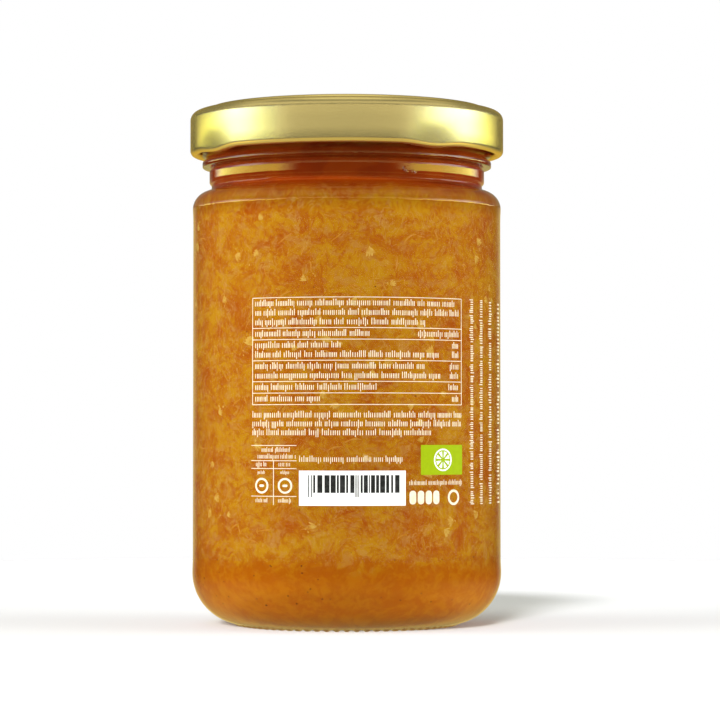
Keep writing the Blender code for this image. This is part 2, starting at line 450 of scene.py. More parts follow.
def cavity_outline(reach, top):
    """The hollow's wall from the centre of its floor up to a height, moved out by a reach."""
    heel_centre = CAVITY_RADIUS - CAVITY_HEEL_RADIUS
    heel_height = CAVITY_FLOOR + CAVITY_HEEL_RADIUS
    floor = crown(heel_centre, CAVITY_FLOOR - reach, CAVITY_FLOOR_CROWN, steps=10)
    heel = arc(heel_centre, heel_height, CAVITY_HEEL_RADIUS + reach, -90, 0, steps=16)
    shoulder_centre = CAVITY_RADIUS - CAVITY_SHOULDER_RADIUS
    shoulder_height = CAVITY_SHOULDER_TOP - CAVITY_SHOULDER_RADIUS
    shoulder_reach = CAVITY_SHOULDER_RADIUS + reach
    shoulder = arc(shoulder_centre, shoulder_height, shoulder_reach, 0, CAVITY_SHOULDER_TURN, steps=10)
    last_r, last_z = shoulder[-1]
    bore = BORE_RADIUS + reach
    corners = [(last_r, last_z, 0), (bore, BORE_FOOT, BORE_FOOT_ROUNDING), (bore, top, 0)]
    return floor + heel + shoulder + rounded(corners, steps=5)[1:]


def glass_outline():
    """Outside from the centre of the raised floor up to the rim, then the inside back to its centre."""
    heel_centre = BODY_RADIUS - HEEL_RADIUS
    punt = crown(heel_centre, FOOT_LIFT, PUNT_DEPTH, steps=10)
    heel = arc(heel_centre, FOOT_LIFT + HEEL_RADIUS, HEEL_RADIUS, -90, 0, steps=30)
    panel = BODY_RADIUS - PANEL_DEPTH
    low, high = FILM_BOTTOM - PANEL_MARGIN, FILM_TOP + PANEL_MARGIN
    shoulder_height = SHOULDER_TOP - SHOULDER_RADIUS
    walls = rounded(
        [
            (*heel[-1], 0),
            (BODY_RADIUS, low - PANEL_SLOPE, 0.3 * MM),
            (panel, low, 1.0 * MM),
            (panel, high, 1.0 * MM),
            (BODY_RADIUS, shoulder_height, 0),
        ]
    )
    shoulder_centre = BODY_RADIUS - SHOULDER_RADIUS
    shoulder = arc(shoulder_centre, shoulder_height, SHOULDER_RADIUS, 0, SHOULDER_TURN, steps=14)
    neck = rounded(
        [
            (*shoulder[-1], 0),
            (WAIST_RADIUS + 0.1 * MM, SHOULDER_TOP + 0.15 * MM, 0.7 * MM),
            (WAIST_RADIUS, BAND_BOTTOM - 0.4 * MM, 0.4 * MM),
            (BAND_RADIUS, BAND_BOTTOM, 0.35 * MM),
            (BAND_RADIUS, BAND_TOP, 0.4 * MM),
            (GROOVE_RADIUS, BAND_TOP + 0.25 * MM, 0.2 * MM),
            (GROOVE_RADIUS, GROOVE_TOP, 0.25 * MM),
            (BEAD_RADIUS, BEAD_BOTTOM, 0.2 * MM),
            (BEAD_RADIUS, BEAD_TOP - 0.45 * MM, 0.3 * MM),
            (FINISH_RADIUS, BEAD_TOP + 0.1 * MM, 0.5 * MM),
            (FINISH_RADIUS, RIM_TOP - RIM_ROUNDING, 0),
        ]
    )
    rim_height = RIM_TOP - RIM_ROUNDING
    crest = arc(FINISH_RADIUS - RIM_ROUNDING, rim_height, RIM_ROUNDING, 10, 90, steps=6)
    crest += arc(BORE_RADIUS + RIM_ROUNDING, rim_height, RIM_ROUNDING, 90, 170, steps=6)
    body = divided(punt + heel + walls[1:] + shoulder[1:], BODY_STEP)
    neck = divided([body[-1]] + neck[1:], NECK_STEP)[1:]
    inside = divided(cavity_outline(0.0, rim_height), INSIDE_STEP)
    return body + neck + crest + inside[::-1]


def mould_glass(r, z, angle):
    """Draws the studs down from the foot and raises the thread ridges on the neck."""
    outside_foot = (z < FOOT_ZONE) & (r > STUD_CIRCLE - STUD_LENGTH)
    along = np.clip(1 - ((r - STUD_CIRCLE) / (STUD_SPREAD * STUD_LENGTH)) ** 2, 0, None) * outside_foot
    round_stud = np.radians(near_multiple(angle, 0, STUDS) * STUDS)
    wave = np.clip(STUD_LEVEL + STUD_SWING * np.cos(round_stud), 0, 1)
    z = z - np.sqrt(along) * wave * np.maximum(z, 0)
    on_finish = (r > FINISH_RADIUS - FINISH_SLACK) & (z > BEAD_TOP) & (z < RIM_TOP - RIM_ROUNDING)
    spacing = 360 / THREADS
    share = ((angle - THREAD_START) % spacing) / THREAD_TURN
    middle = THREAD_LOW + THREAD_RISE * share
    from_end = np.minimum(share, 1 - share)
    taper = np.clip(THREAD_TIP + THREAD_FADE * from_end, 0, 1) * (share <= 1)
    across = np.abs(z - middle) / (THREAD_HALF_HEIGHT * np.maximum(taper, THREAD_LEAST))
    ridge = smooth_share(across, 1.0, THREAD_CREST)
    r = r + THREAD_DEPTH * taper * ridge * on_finish
    return r, z


def lid_outline():
    """Outside from the centre of the panel to the rolled edge, then the inside back to the centre."""
    top = rounded(
        [
            (0.0, LID_PANEL - BUTTON_DEPTH, 0),
            (0.8 * BUTTON_RADIUS, LID_PANEL - BUTTON_DEPTH, 1.2 * MM),
            (BUTTON_RADIUS, LID_PANEL, 1.2 * MM),
            (LID_RING_INNER - 0.4 * MM, LID_PANEL, 0.8 * MM),
            (LID_RING_INNER + 0.3 * MM, LID_TOP, 0.8 * MM),
            (LID_RING_OUTER - 0.3 * MM, LID_TOP, 0.7 * MM),
            (LID_RING_OUTER + 0.3 * MM, LID_SHOULDER + 0.02 * MM, 0.4 * MM),
            (LID_RADIUS - LID_CORNER, LID_SHOULDER, 0),
        ],
        steps=6,
    )
    centre = (LID_RADIUS - LID_CORNER, LID_SHOULDER - LID_CORNER)
    corner = arc(*centre, LID_CORNER, LID_CORNER_TURN, 0, steps=16)
    roll = arc(LID_RADIUS - ROLL_RADIUS, ROLL_BOTTOM + ROLL_RADIUS, ROLL_RADIUS, 0, ROLL_TURN, steps=24)
    wall = [(LID_RADIUS - LID_SHEET, ROLL_BOTTOM + WALL_FOOT)]
    inner_corner = arc(*centre, LID_CORNER - LID_SHEET, 0, LID_CORNER_TURN, steps=8)
    under = [(r, z - LID_SHEET) for r, z in reversed(top)]
    return divided(top[:-1] + corner + roll + wall + inner_corner + under[1:], LID_STEP)


def press_lugs(r, z, angle):
    """Pushes the rolled edge inward and down at each lug, fading out up the skirt."""
    offset = np.abs(near_multiple(angle, LUG_START, LUGS)) / LUG_HALF_TURN
    pressed = np.cos(np.clip(offset, 0, 1) * np.pi / 2) ** 2
    low = smooth_share(z, LUG_REACH, ROLL_BOTTOM + ROLL_RADIUS)
    inside = smooth_share(r, LID_RADIUS - LUG_SKIN_OUTER, LID_RADIUS - LUG_SKIN_INNER)
    share = pressed * low
    r = r - LUG_INWARD * share * (LUG_OUTSIDE_SHARE + (1 - LUG_OUTSIDE_SHARE) * inside)
    return r, z - LUG_DOWN * share


def filling_outline():
    """The filling up to its level, with its edge drawn a little up the glass."""
    wall = cavity_outline(INTO_WALL, FILL_LEVEL)
    radius = BORE_RADIUS + INTO_WALL
    surface = []
    for share in (0.97, 0.9, 0.75, 0.4, 0.0):
        surface.append((radius * share, FILL_LEVEL - FILL_DIP * (1 - share**6)))
    return divided(wall, FILLING_STEP) + surface


def wrapped_box(mesh, start, end, low, high, inner, outer, step=3.0):
    """Adds a thin plate that follows the jar's round side, between two angles and two heights."""
    count = max(1, math.ceil(abs(end - start) / step))
    rings = []
    for index in range(count + 1):
        turn = math.radians(start + (end - start) * index / count)
        ring = []
        for radius, height in ((inner, low), (outer, low), (outer, high), (inner, high)):
            ring.append(mesh.verts.new((radius * math.sin(turn), -radius * math.cos(turn), height)))
        rings.append(ring)
    for left, right in zip(rings, rings[1:]):
        for index in range(4):
            after = (index + 1) % 4
            mesh.faces.new((left[index], left[after], right[after], right[index]))
    mesh.faces.new(rings[0][::-1])
    mesh.faces.new(rings[-1])


# Print on the film. Places are in millimetres along the film from the front, and above the table.

LINE_WEIGHT = 0.13
DASH_ROUNDING = 0.45
DASH_STEPS = 3

# Rows of strokes that stand for words. These sizes are shares of a stroke's height.
STROKE = 0.17
UPRIGHT_STROKE = 0.23
STROKE_GAPS = (0.2, 0.26, 0.34)
WORD_GAP = 0.45
TALL_STROKE = 1.4
DEEP_STROKE = 0.4
TALL_CHANCE = 0.22
DEEP_CHANCE = 0.08


class Sheet:
    """Plates of one ink on the film."""

    def __init__(self, level=0):
        self.mesh = bmesh.new()
        self.inner = BODY_RADIUS + INK_LIFT + level * (INK_LIFT + INK_THICKNESS)
        self.outer = self.inner + INK_THICKNESS

    def plate(self, left, right, low, high):
        start, end = (math.degrees(side * MM / BODY_RADIUS) for side in (left, right))
        wrapped_box(self.mesh, start, end, low * MM, high * MM, self.inner, self.outer)

    def line(self, left, right, height):
        self.plate(left, right, height - LINE_WEIGHT / 2, height + LINE_WEIGHT / 2)

    def upright(self, place, low, high):
        self.plate(place - LINE_WEIGHT / 2, place + LINE_WEIGHT / 2, low, high)

    def blob(self, outline):
        """A plate with any outline, given as points (along, height) in order."""
        rings = []
        for radius in (self.inner, self.outer):
            ring = []
            for along, height in outline:
                turn = along * MM / BODY_RADIUS
                place = (radius * math.sin(turn), -radius * math.cos(turn), height * MM)
                ring.append(self.mesh.verts.new(place))
            rings.append(ring)
        back, front = rings
        self.mesh.faces.new(back)
        self.mesh.faces.new(front)
        for index in range(len(outline)):
            after = (index + 1) % len(outline)
            self.mesh.faces.new((back[index], back[after], front[after], front[index]))

    def ring(self, along, height, radius, weight, steps=40):
        """A plain ring."""
        inner = radius - weight
        for index in range(steps):
            start, end = (2 * math.pi * (index + side) / steps for side in (0, 1))
            corners = ((radius, start), (radius, end), (inner, end), (inner, start))
            self.blob([(along + r * math.cos(t), height + r * math.sin(t)) for r, t in corners])

    def dash(self, left, right, low, high):
        """A small bar with rounded corners."""
        radius = DASH_ROUNDING * min(high - low, right - left)
        outline = []
        for along, height, start in (
            (right - radius, low + radius, -90),
            (right - radius, high - radius, 0),
            (left + radius, high - radius, 90),
            (left + radius, low + radius, 180),
        ):
            for step in range(DASH_STEPS + 1):
                turn = math.radians(start + 90 * step / DASH_STEPS)
                outline.append((along + radius * math.cos(turn), height + radius * math.sin(turn)))
        self.blob(outline)

    def words(self, draw, left, right, foot, size=0.95, longest=6.5, upright=False):
        """A row of fine strokes, grouped and spaced as words are, standing on a foot line.

        An upright row runs upwards, and its left and right are then heights on the label.
        """
        place = left
        while place < right - 0.3 * size:
            end = min(place + draw.uniform(0.25, 1.0) * longest * size, right)
            if right - end < size:
                end = right
            while place < end - 0.1:
                low = foot - (DEEP_STROKE * size if draw.random() < DEEP_CHANCE else 0.0)
                high = foot + size * (TALL_STROKE if draw.random() < TALL_CHANCE else 1.0)
                stop = min(place + (UPRIGHT_STROKE if upright else STROKE) * size, end)
                if upright:
                    self.plate(2 * foot - high, 2 * foot - low, place, stop)
                else:
                    self.plate(place, stop, low, high)
                place = stop + draw.choice(STROKE_GAPS) * size
            place += WORD_GAP * size


TABLE_LEFT = -20.6
TABLE_RIGHT = 26.3
TABLE_TOP = 68.55
ROW_PITCH = 1.93
ROW_PADDING = 0.42
ROW_FOOT = 0.45
TEXT_INDENT = 0.7

# For each row of the table: the share of the width its words fill, and its figure's width in mm.
TABLE_BLOCKS = (
    ((0.97, 0), (1.0, 0), (0.81, 0)),
    ((0.54, 10.5),),
    ((0.43, 2.0), (0.88, 2.0)),
    ((0.8, 2.6), (0.89, 2.6)),
    ((0.57, 3.0),),
    ((0.32, 2.0),),
)


def print_table(white, draw):
    """The framed table: ruled blocks of rows, words on the left and a figure on the right."""
    height = TABLE_TOP
    width = TABLE_RIGHT - TABLE_LEFT - 2 * TEXT_INDENT
    white.line(TABLE_LEFT, TABLE_RIGHT, height)
    for block in TABLE_BLOCKS:
        for index, (share, figure) in enumerate(block):
            foot = height - ROW_PADDING / 2 - ROW_PITCH * (index + 1) + ROW_FOOT
            left, right = TABLE_LEFT + TEXT_INDENT, TABLE_RIGHT - TEXT_INDENT
            white.words(draw, left, left + width * share, foot)
            if figure:
                white.words(draw, right - figure, right, foot)
        height -= ROW_PADDING + ROW_PITCH * len(block)
        white.line(TABLE_LEFT, TABLE_RIGHT, height)
    white.upright(TABLE_LEFT, height, TABLE_TOP)
    white.upright(TABLE_RIGHT, height, TABLE_TOP)


# The rows under the table, each with its foot and the share of the table's width that it fills.
NOTE_ROWS = ((44.1, 1.0), (42.3, 1.0), (40.5, 0.83))

SHORT_ROW_LEFT, SHORT_ROW_RIGHT = -9.8, 11.8
SHORT_ROW_FOOT = 35.1

# The small ruled box at the lower left, with two cells side by side.
BOX_LEFT, BOX_MIDDLE, BOX_RIGHT = -20.9, -15.5, -10.4
BOX_LINES = (38.4, 35.3, 33.7, 28.05)
BOX_FOOT = 26.3
BOX_LONGEST_WORD = 9
CELL_LONGEST_WORD = 5

# Rows over the whole box, then in each cell: start and end from its left side, foot and height.
BOX_ROWS = ((2.6, 9.1, 37.1, 0.7), (1.6, 10.5, 35.75, 0.7))
CELL_ROWS = ((1.2, 3.9, 34.15, 0.7), (1.6, 3.5, 32.6, 0.5), (1.1, 4.0, 26.8, 0.65))

# In each cell: the ring's centre, radius and weight, and the bar inside it.
CELL_RING = (2.6, 30.2, 1.6, 0.4)
CELL_BAR = (2.05, 3.15, 29.95, 30.45)


def print_notes(white, draw):
    """Three rows under the table, one short row, and the small box at the lower left."""
    for foot, share in NOTE_ROWS:
        white.words(draw, TABLE_LEFT, TABLE_LEFT + (TABLE_RIGHT - TABLE_LEFT) * share, foot)
    white.words(draw, SHORT_ROW_LEFT, SHORT_ROW_RIGHT, SHORT_ROW_FOOT, 0.9)
    for height in BOX_LINES:
        white.line(BOX_LEFT, BOX_RIGHT, height)
    white.upright(BOX_MIDDLE, BOX_FOOT, BOX_LINES[1])
    for start, end, foot, size in BOX_ROWS:
        white.words(draw, BOX_LEFT + start, BOX_LEFT + end, foot, size, BOX_LONGEST_WORD)
    for side in (BOX_LEFT, BOX_MIDDLE):
        for start, end, foot, size in CELL_ROWS:
            white.words(draw, side + start, side + end, foot, size, CELL_LONGEST_WORD)
        along, *ring = CELL_RING
        white.ring(side + along, *ring)
        start, end, low, high = CELL_BAR
        white.dash(side + start, side + end, low, high)


# The rows that run up the film, each with its place along the film and its strokes' height.
COLUMNS = ((30.2, 0.85), (33.9, 0.9), (38.3, 1.05), (44.6, 1.6))
COLUMN_LOW, COLUMN_HIGH = 26.2, 68.6

# The corner marks: four heavy bars in a row and a ring beside them, under a short row of strokes.
CORNER_LEFT, CORNER_RIGHT = 13.1, 26.4
CORNER_ROW_FOOT = 30.35
HEAVY_BARS = (13.1, 14.95, 16.8, 18.65)
HEAVY_BAR_WIDTH = 1.5
HEAVY_BAR_LOW, HEAVY_BAR_HIGH = 26.4, 29.2
CORNER_RING = (24.0, 27.75, 1.6, 0.5)


def print_columns(white, draw):
    """Four rows of words that run up the film on the right."""
    for foot, size in COLUMNS:
        white.words(draw, COLUMN_LOW, COLUMN_HIGH, foot, size, upright=True)


def print_corner(white, draw):
    """The short row, four heavy bars and the plain ring at the lower right."""
    white.words(draw, CORNER_LEFT, CORNER_RIGHT, CORNER_ROW_FOOT, 0.75)
    for left in HEAVY_BARS:
        white.dash(left, left + HEAVY_BAR_WIDTH, HEAVY_BAR_LOW, HEAVY_BAR_HIGH)
    white.ring(*CORNER_RING)


PANEL_LEFT, PANEL_RIGHT = -9.85, 12.25
PANEL_LOW, PANEL_HIGH = 26.2, 33.3
BARS_LEFT, BARS_RIGHT = -7.9, 10.9
BARS_LOW, LONG_BARS_LOW, BARS_HIGH = 28.8, 27.9, 32.4
LONG_BARS_REACH = 0.7
BAR_MODULE = 0.21
GREEN_LEFT, GREEN_RIGHT = 15.7, 26.5
GREEN_LOW, GREEN_HIGH = 32.4, 38.5
SLICE_RADIUS = 2.3
SLICE_RIM = 0.3
SLICE_SEGMENTS = 8
SEGMENT_CORNERS = ((0.45, 0.0), (1.75, 0.24), (1.75, -0.24))


def print_bars(black, draw):
    """Upright bars of uneven weight on the white panel, longer at both ends and in the middle."""
    place = BARS_LEFT
    middle = (BARS_LEFT + BARS_RIGHT) / 2
    while place < BARS_RIGHT - BAR_MODULE:
        weight = BAR_MODULE * draw.choice((1, 2, 3, 4, 5))
        longer = min(abs(place - side) for side in (BARS_LEFT, middle, BARS_RIGHT)) < LONG_BARS_REACH
        if longer:
            weight = BAR_MODULE
        end = min(place + weight, BARS_RIGHT)
        black.plate(place, end, LONG_BARS_LOW if longer else BARS_LOW, BARS_HIGH)
        place += weight + BAR_MODULE * draw.choice((1, 1, 2))


def print_slice(white):
    """A plain cut slice of fruit, a ring round its segments, as a simple mark on the green field."""
    along = (GREEN_LEFT + GREEN_RIGHT) / 2
    height = (GREEN_LOW + GREEN_HIGH) / 2
    white.ring(along, height, SLICE_RADIUS, SLICE_RIM)
    for index in range(SLICE_SEGMENTS):
        turn = math.radians(360 * (index + 0.5) / SLICE_SEGMENTS)
        segment = []
        for reach, offset in SEGMENT_CORNERS:
            side = turn + offset
            segment.append((along + reach * math.cos(side), height + reach * math.sin(side)))
        white.blob(segment)


# Bits in the filling, all at the wall

BITS_LOW = 16 * MM
BITS_HIGH = 88 * MM
SPECKS_LOW = 6.5 * MM
SPECKS_HIGH = 17 * MM
FANS = 110
FAN_SIZES = (1.4, 2.5)
FAN_LOBES = (3, 4, 4, 5)
FAN_SPREAD = (0.3, 0.42)
LOBE_LENGTH = (0.8, 1.1)
LOBE_WIDTH = (0.24, 0.34)
LOBE_LIFT = (0.03, 0.07)
CRUMBS = (0, 1, 2, 3)
CRUMB_SIZES = (0.4, 0.8)
STRANDS = 260
STRAND_LENGTHS = (1.5, 4.0)
STRAND_WIDTHS = (0.3, 0.65)
STRAND_BEND = 1.6
STRAND_WANDER = 0.12
STRAND_STEP = 0.6 * MM
STRAND_TIP = 0.04
STRAND_EDGE = -0.1 * MM
STRAND_BACK = -0.25 * MM
SPECKS = 170
SPECK_SIZES = (0.2, 0.5)

# A flake's uneven reach, its raised middle's share of it, its rim's drop and its depth.
FLAKE_REACH = (0.75, 1.15)
FLAKE_MIDDLE = 0.55
FLAKE_RIM_DROP = 0.3
FLAKE_BACK = 0.12 * MM

# The mould's dots on the neck band: degrees from the front, height and width in millimetres.
BAND_DOTS = ((23.9, 95.3, 0.9), (24.8, 94.65, 0.7), (27.4, 94.8, 0.75), (28.8, 94.6, 0.6))
DOT_LIFT = 0.5 * MM


def filling_radius(height):
    """How far out the filling's side is at this height."""
    below = CAVITY_FLOOR + CAVITY_HEEL_RADIUS - height
    if below <= 0:
        return CAVITY_RADIUS + INTO_WALL
    reach = CAVITY_HEEL_RADIUS + INTO_WALL
    return CAVITY_RADIUS - CAVITY_HEEL_RADIUS + math.sqrt(max(reach**2 - below**2, 0))


def flake(mesh, draw, angle, height, length, width, turn, corners, lift, radius=None):
    """A thin lens-like flake on the filling's side, or on a side of another radius.

    It has a raised middle and an uneven rim.
    """
    radius = radius or filling_radius(height)
    rim, inner = [], []
    for index in range(corners):
        way = 2 * math.pi * index / corners
        reach = draw.uniform(*FLAKE_REACH)
        along = 0.5 * length * math.cos(way) * reach
        across = 0.5 * width * math.sin(way) * reach
        for ring, share, out in ((rim, 1.0, -FLAKE_RIM_DROP * lift), (inner, FLAKE_MIDDLE, lift)):
            u = (along * math.cos(turn) - across * math.sin(turn)) * share
            v = (along * math.sin(turn) + across * math.cos(turn)) * share
            spot = math.radians(angle) + u / radius
            r = radius + out
            ring.append(mesh.verts.new((r * math.sin(spot), -r * math.cos(spot), height + v)))
    back = []
    for vert in rim:
        inward = Vector((vert.co.x, vert.co.y, 0)).normalized() * FLAKE_BACK
        back.append(mesh.verts.new(vert.co - inward))
    mesh.faces.new(inner)
    mesh.faces.new(back[::-1])
    for index in range(corners):
        after = (index + 1) % corners
        mesh.faces.new((rim[index], rim[after], inner[after], inner[index]))
        mesh.faces.new((back[index], back[after], rim[after], rim[index]))


def strand(mesh, draw, angle, height, length, width, turn, bend, lift):
    """A thin curved shred of peel that lies along the filling's side."""
    radius = CAVITY_RADIUS + INTO_WALL
    steps = max(6, round(length / STRAND_STEP))
    spot_u, spot_v, way = 0.0, 0.0, turn
    rings = []
    for step in range(steps + 1):
        share = step / steps
        half = width / 2 * math.sin(math.pi * min(max(share, STRAND_TIP), 1 - STRAND_TIP)) ** 0.5
        side_u, side_v = -math.sin(way), math.cos(way)
        ring = []
        sides = ((-1, STRAND_EDGE), (-0.5, lift), (0.5, lift), (1, STRAND_EDGE), (0, STRAND_BACK))
        for across, out in sides:
            u = spot_u + side_u * across * half
            v = spot_v + side_v * across * half
            place = math.radians(angle) + u / radius
            r = radius + out
            ring.append(mesh.verts.new((r * math.sin(place), -r * math.cos(place), height + v)))
        rings.append(ring)
        way += bend / steps + draw.uniform(-STRAND_WANDER, STRAND_WANDER)
        spot_u += math.cos(way) * length / steps
        spot_v += math.sin(way) * length / steps
    for left, right in zip(rings, rings[1:]):
        for index in range(5):
            after = (index + 1) % 5
            mesh.faces.new((left[index], left[after], right[after], right[index]))
    mesh.faces.new(rings[0][::-1])
    mesh.faces.new(rings[-1])


def pale_bits():
    """Pale ends of pulp: small fans of three to five lobes, and single crumbs beside them."""
    draw = random.Random(11)
    mesh = bmesh.new()
    for _ in range(FANS):
        angle, height = draw.uniform(0, 360), draw.uniform(BITS_LOW, BITS_HIGH)
        turn = draw.uniform(0, 2 * math.pi)
        size = draw.uniform(*FAN_SIZES) * MM
        lobes = draw.choice(FAN_LOBES)
        for lobe in range(lobes):
            way = turn + (lobe - 0.5 * (lobes - 1)) * draw.uniform(*FAN_SPREAD)
            reach = 0.45 * size
            spot = angle + math.degrees(reach * math.cos(way) / CAVITY_RADIUS)
            flake(
                mesh,
                draw,
                spot,
                height + reach * math.sin(way),
                size * draw.uniform(*LOBE_LENGTH),
                size * draw.uniform(*LOBE_WIDTH),
                way,
                8,
                draw.uniform(*LOBE_LIFT) * MM,
            )
        for _ in range(draw.choice(CRUMBS)):
            crumb = draw.uniform(*CRUMB_SIZES) * MM
            beside = angle + draw.uniform(-5, 5)
            level = height + draw.uniform(-2.4, 2.4) * MM
            flake(mesh, draw, beside, level, crumb, crumb * 0.6, draw.uniform(0, 3), 6, 0.03 * MM)
    return closed_mesh("pulp_flakes", mesh)


def peel_strands():
    """Short pale shreds of pulp, mostly upright, that lie in the jelly at the glass."""
    draw = random.Random(23)
    mesh = bmesh.new()
    for _ in range(STRANDS):
        strand(
            mesh,
            draw,
            draw.uniform(0, 360),
            draw.uniform(BITS_LOW, BITS_HIGH - 5 * MM),
            draw.uniform(*STRAND_LENGTHS) * MM,
            draw.uniform(*STRAND_WIDTHS) * MM,
            draw.gauss(math.pi / 2, 0.9),
            draw.uniform(-STRAND_BEND, STRAND_BEND),
            0.02 * MM,
        )
    return closed_mesh("peel_strands", mesh)


def dark_specks():
    """Tiny dark specks, most of them low in the jar where the jelly is clearer."""
    draw = random.Random(37)
    mesh = bmesh.new()
    for index in range(SPECKS):
        low = index % 3 > 0
        height = draw.uniform(SPECKS_LOW, SPECKS_HIGH) if low else draw.uniform(SPECKS_HIGH, BITS_HIGH)
        size = draw.uniform(*SPECK_SIZES) * MM
        flake(mesh, draw, draw.uniform(0, 360), height, size, size * 0.8, 0, 6, 0.05 * MM)
    return closed_mesh("dark_specks", mesh)


def mould_dots():
    """Four small raised dots that the mould leaves on the neck band."""
    draw = random.Random(5)
    mesh = bmesh.new()
    for angle, height, size in BAND_DOTS:
        flake(mesh, draw, angle, height * MM, size * MM, size * MM, 0, 12, DOT_LIFT, BAND_RADIUS)
    return closed_mesh("mould_dots", mesh)


# Materials


def glass_finish():
    """Clear glass with a faint yellow-green tint. Rays from lamps pass straight through it."""
    f = new_finish("flint_glass")
    ripple = f.noise(f.places(), 9.0, 2.0)
    glass = f.principled(
        {
            "Base Color": colour((0.97, 0.985, 0.93)),
            "Roughness": 0.0,
            "IOR": 1.5,
            "Transmission Weight": 1.0,
            "Specular Tint": colour((1.0, 0.76, 0.34)),
            "Normal": f.bump(ripple, 0.05, 0.2 * MM),
        }
    )
    clear = f.add("ShaderNodeBsdfTransparent", {}, {"Color": colour((0.97, 0.98, 0.94))})["BSDF"]
    shadow = f.add("ShaderNodeLightPath")["Is Shadow Ray"]
    return f.surface(f.mixed(shadow, glass, clear))


JELLY_LEVEL = 0.60


def jelly(red, green, blue):
    """A colour of the jelly as it looks in the light, turned into the colour of its surface."""
    return tuple(JELLY_LEVEL * share for share in (red, green, blue))


RED_ORANGE = jelly(0.46, 0.090, 0.003)
ORANGE = jelly(0.51, 0.142, 0.003)
GOLDEN_ORANGE = jelly(0.56, 0.205, 0.004)
GOLDEN = jelly(0.62, 0.290, 0.007)
TAN = jelly(0.59, 0.270, 0.065)
PALE_FIBRE = jelly(0.68, 0.38, 0.090)
CLEAR_JELLY = jelly(0.48, 0.115, 0.001)
CLEAR_GOLD = jelly(0.54, 0.160, 0.002)
# Painted light: the heel's jelly tones are made this much lighter to make up for the light the heel
# misses.
HEEL_PAINTED_LIGHT_GAIN = 2.15
# Deep red jelly in the neck, made darker still as painted shade from the lid.
NECK_JELLY_AND_SHADE = jelly(0.36, 0.036, 0.001)
NECK_AMBER_AND_SHADE = jelly(0.44, 0.056, 0.001)
# Painted shade: a near-black jelly tone laid over the jelly where the shoulder and the foot of the neck
# fall in shade.
PAINTED_SHADE_JELLY = jelly(0.05, 0.008, 0.0)


def with_painted_heel_light(tone):
    """The tone for the heel with painted light: lighter, since the heel faces down and so catches less
    light.
    """
    return tuple(HEEL_PAINTED_LIGHT_GAIN * share for share in tone)


def thin_lines(f, spot, size, width, detail=2.0):
    """Fine wandering lines: 1 on a line, fading to 0 beside it."""
    return 1 - f.step(abs(f.noise(spot, size, detail, 0.5, 0.3) - 0.5), 0.0, width)


